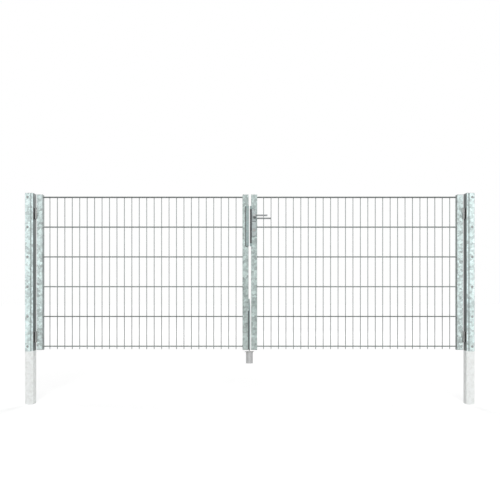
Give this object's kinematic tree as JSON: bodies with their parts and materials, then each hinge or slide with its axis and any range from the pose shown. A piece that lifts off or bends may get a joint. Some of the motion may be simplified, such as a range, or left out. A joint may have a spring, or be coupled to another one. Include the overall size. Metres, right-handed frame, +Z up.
{
  "type": "double swing driveway gate",
  "caption": "Low double-leaf driveway gate of welded wire mesh in square tube stiles, hung on two steel posts, with lever lock, strike, drop bolt and ground sleeve.",
  "frame": {"origin": "centre of the left post's foot, on the plane of its lower end face", "axes": "+X along the gate from the left post to the right post, +Y from the front (the side that the leaves open towards) to the back, +Z up"},
  "size_m": [3, 0.166, 1.411],
  "materials": {
    "galvanised_post": "hot-dip galvanised, mottled spangle",
    "galvanised_strip": "hot-dip galvanised, mottled spangle",
    "galvanised_cap": "galvanised sheet",
    "galvanised_stile": "hot-dip galvanised, mottled spangle",
    "galvanised_wire": "hot-dip galvanised wire",
    "galvanised_fitting": "hot-dip galvanised",
    "hinge_steel": "galvanised, slightly worn",
    "zinc_screw": "zinc plated",
    "sleeve_steel": "galvanised tube",
    "rod_steel": "zinc plated bar",
    "lock_steel": "bare steel",
    "dark_plate": "dark coated steel",
    "lock_aluminium": "satin anodised",
    "lever_aluminium": "satin anodised",
    "cylinder_brass": "nickel over brass, dulled",
    "black_rubber": "matt rubber"
  },
  "bodies": {
    "posts": {"left_post": "galvanised_post", "right_post": "galvanised_post", "left_post_cap": "galvanised_cap", "right_post_cap": "galvanised_cap", "left_cover_strip": "galvanised_strip", "right_cover_strip": "galvanised_strip", "left_strip_screws": "zinc_screw", "right_strip_screws": "zinc_screw", "left_hinge_plates": "dark_plate", "right_hinge_plates": "dark_plate", "left_hinge_pins": "hinge_steel", "right_hinge_pins": "hinge_steel", "ground_sleeve": "sleeve_steel"},
    "left_leaf": {"left_hinge_stile": "galvanised_stile", "left_meeting_stile": "galvanised_stile", "left_stile_caps": "galvanised_cap", "left_mesh": "galvanised_wire", "left_hinge_knuckles": "hinge_steel", "strike_plate": "galvanised_fitting", "strike_buffer": "black_rubber", "strike_end_blocks": "galvanised_fitting", "bolt_guides": "galvanised_fitting", "bolt_cover": "galvanised_fitting", "bolt_seal": "black_rubber"},
    "drop_bolt": {"drop_rod": "rod_steel", "drop_rod_grip": "galvanised_fitting"},
    "right_leaf": {"right_hinge_stile": "galvanised_stile", "right_meeting_stile": "galvanised_stile", "right_stile_caps": "galvanised_cap", "right_mesh": "galvanised_wire", "right_hinge_knuckles": "hinge_steel", "lock_case": "lock_steel", "lock_forend": "dark_plate", "front_lock_plate": "lock_aluminium", "back_lock_plate": "lock_aluminium", "key_cylinder": "cylinder_brass", "lock_end_blocks": "galvanised_fitting"},
    "handle": {"front_lever": "lever_aluminium", "back_lever": "lever_aluminium", "lever_spindle": "lock_steel"}
  },
  "joints": [
    {"name": "left_leaf_swing", "type": "hinge", "parent": "posts", "child": "left_leaf", "pos_m": [0.047, -0.03, 0], "axis": [0, 0, -1], "range_deg": [0, 90]},
    {"name": "right_leaf_swing", "type": "hinge", "parent": "posts", "child": "right_leaf", "pos_m": [2.897, -0.03, 0], "axis": [0, 0, 1], "range_deg": [0, 90]},
    {"name": "handle_turn", "type": "hinge", "parent": "right_leaf", "child": "handle", "pos_m": [1.501, 0, 1.255], "axis": [0, 1, 0], "range_deg": [0, 40], "stiffness_Nm_per_rad": 1, "springref_deg": -34.38},
    {"name": "drop_bolt_slide", "type": "slide", "parent": "left_leaf", "child": "drop_bolt", "axis": [0, 0, 1], "range_m": [-0.05, 0]}
  ]
}
